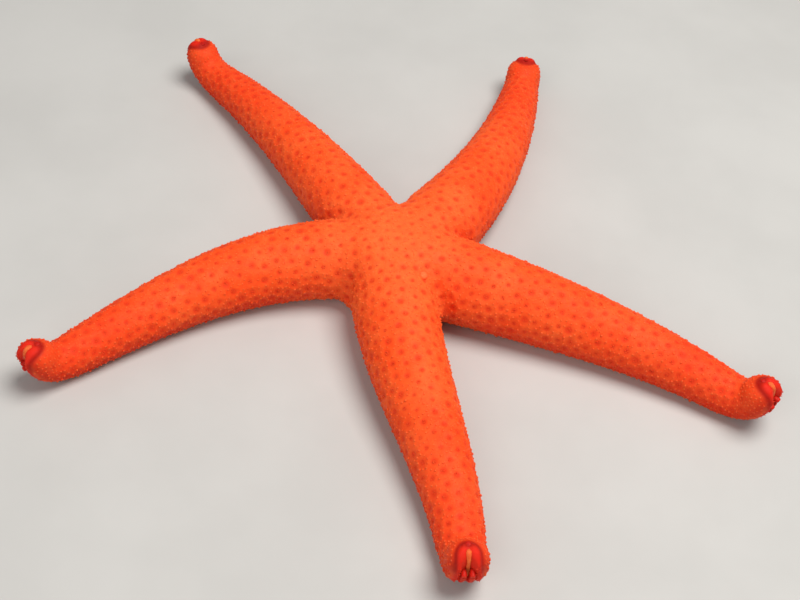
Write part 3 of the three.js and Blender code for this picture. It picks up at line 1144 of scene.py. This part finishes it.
# The camera looks down at the animal from the side of arm C
CAMERA_ELEVATION = 47.14 * DEGREE
CAMERA_DISTANCE = 372 * MM
CAMERA_ROLL = 6.11 * DEGREE
CAMERA_ASIDE = 2.36 * MM
CAMERA_BACK = -3.74 * MM
LENS = 61.7
FLOOR_HALF_WIDTH = 1.6
# The lamps, which all aim at the origin: place, size, power and colour
LAMPS = {
    "key": ((0.23, -0.02, 0.77), 0.5, 6.9, (1.0, 0.98, 0.95)),
    "fill": ((-0.36, -0.66, 0.55), 0.7, 2.55, (1.0, 0.97, 0.94)),
}
SURROUNDINGS = {"Color": (0.97, 0.97, 0.97, 1.0), "Strength": 0.25}


def make_camera():
    data = bpy.data.cameras.new("camera")
    data.lens = LENS
    data.clip_start = 0.01
    camera = new_object("camera", data)
    ahead = Vector((0, cos(CAMERA_ELEVATION), -sin(CAMERA_ELEVATION)))
    level_up = Vector((0, sin(CAMERA_ELEVATION), cos(CAMERA_ELEVATION)))
    right = Vector((cos(CAMERA_ROLL), 0, 0)) + level_up * sin(CAMERA_ROLL)
    up = right.cross(ahead)
    target = Vector(CENTRE) + Vector((CAMERA_ASIDE, CAMERA_BACK, 0))
    turn = Matrix((right, up, -ahead)).transposed()
    camera.matrix_world = Matrix.Translation(target - ahead * CAMERA_DISTANCE) @ turn.to_4x4()
    bpy.context.scene.camera = camera


def make_floor():
    corners = FLOOR_HALF_WIDTH * np.array([(-1, -1, 0), (1, -1, 0), (1, 1, 0), (-1, 1, 0)])
    floor = mesh_object("floor", corners, [(0, 1, 2, 3)])
    shader = Shader("floor_pale")
    tint = shader.ramp(shader.noise(0.05), 0.3, 0.7)
    colour = shader.mix(tint, FLOOR_DARK, FLOOR_PALE)
    floor.data.materials.append(shader.finish(colour, 0.8))


def make_lights():
    for name, (place, size, power, colour) in LAMPS.items():
        data = bpy.data.lights.new(name, "AREA")
        data.shape = "DISK"
        data.size = size
        data.energy = power
        data.color = colour
        lamp = new_object(name, data)
        lamp.location = place
        lamp.rotation_mode = "QUATERNION"
        lamp.rotation_quaternion = (-Vector(place)).to_track_quat("-Z", "Y")
    world = bpy.data.worlds.new("studio")
    world.use_nodes = True
    for name, value in SURROUNDINGS.items():
        world.node_tree.nodes["Background"].inputs[name].default_value = value
    bpy.context.scene.world = world


# ---- The scene ----

def place_piece(piece, material, replaces=()):
    """Gives a piece its material, and lets it ride on the body"""
    piece.data.materials.append(material)
    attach(piece, "root")
    if replaces:
        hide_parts(*replaces)


make_camera()
make_floor()
make_lights()
bpy.context.scene.view_settings.view_transform = "Standard"

skin, pits, marks = make_skin()
place_piece(skin, skin_material(), FLESH)
surface = surface_of(skin.data)

spinelet_material = coat_material("spinelets_orange", SPINE_PALE, 0.0, 0.3)
for piece in make_spinelets(marks):
    place_piece(piece, spinelet_material)
papulae = make_papulae(pits, marks)
place_piece(papulae, coat_material("papulae_red", PIT_RED, 0.55, 0.6))
spine_material = coat_material("groove_spines_orange", SPINE_PALE, 0.1, 0.8)
place_piece(make_groove_spines(surface), spine_material)
place_piece(make_mouth_spines(surface), spine_material)
foot_material = tube_foot_material()
for name, kind in TUBE_FEET.items():
    place_piece(make_feet(surface, name, kind), foot_material)
nerve_material = plain_flesh("nerve_ridges_pale", NERVE_PALE, NERVE_DARK, 0.8 * MM)
place_piece(make_nerve_ridges(surface), nerve_material)
cushion_material = plain_flesh("eye_cushions_red", CUSHION_RED, CUSHION_DARK, 0.4 * MM)
place_piece(make_eye_cushions(surface), cushion_material)
place_piece(make_sieve_plate(), sieve_material(), ["sieve_plate"])
mouth_material = plain_flesh("mouth_skin_red", MOUTH_PALE, MOUTH_RED, 0.7 * MM)
place_piece(make_mouth_membrane(), mouth_material, ["mouth_membrane"])
